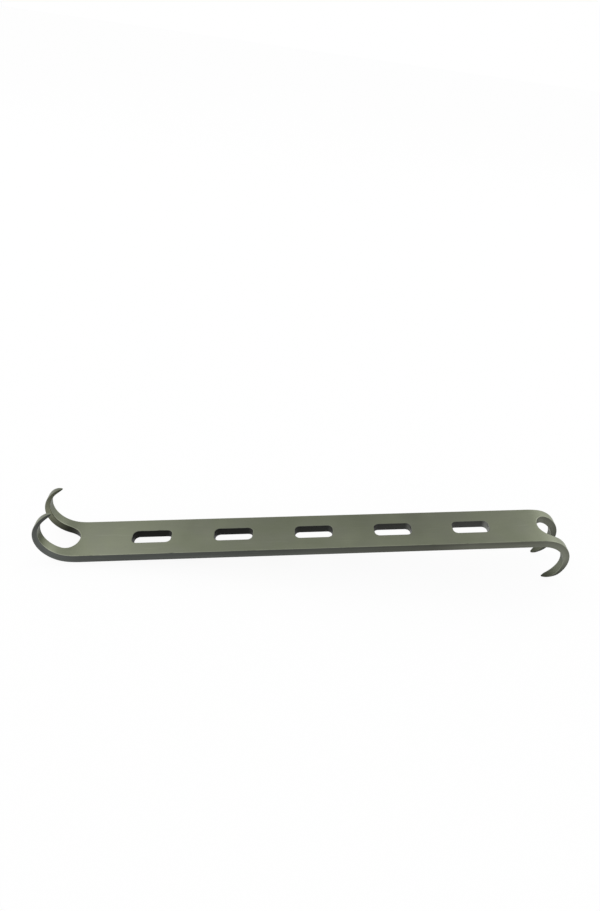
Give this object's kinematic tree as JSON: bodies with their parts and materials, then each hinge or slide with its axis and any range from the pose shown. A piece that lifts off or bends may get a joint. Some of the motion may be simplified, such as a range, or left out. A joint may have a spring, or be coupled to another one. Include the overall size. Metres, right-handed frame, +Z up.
{
  "type": "handheld surgical retractor",
  "caption": "Double-ended rake retractor: a flat slotted steel bar whose two ends fork into sharp prongs, one end curling up and the other down.",
  "frame": {"origin": "on the table, below the middle of the bar, where the piece lies at rest", "axes": "+X along the bar towards the claws that curl down, +Z up; the bar rises towards +X by 6 degrees"},
  "size_m": [0.2012, 0.018, 0.0221],
  "materials": {
    "steel": "satin"
  },
  "bodies": {
    "root": {"retractor": "steel"}
  },
  "joints": []
}
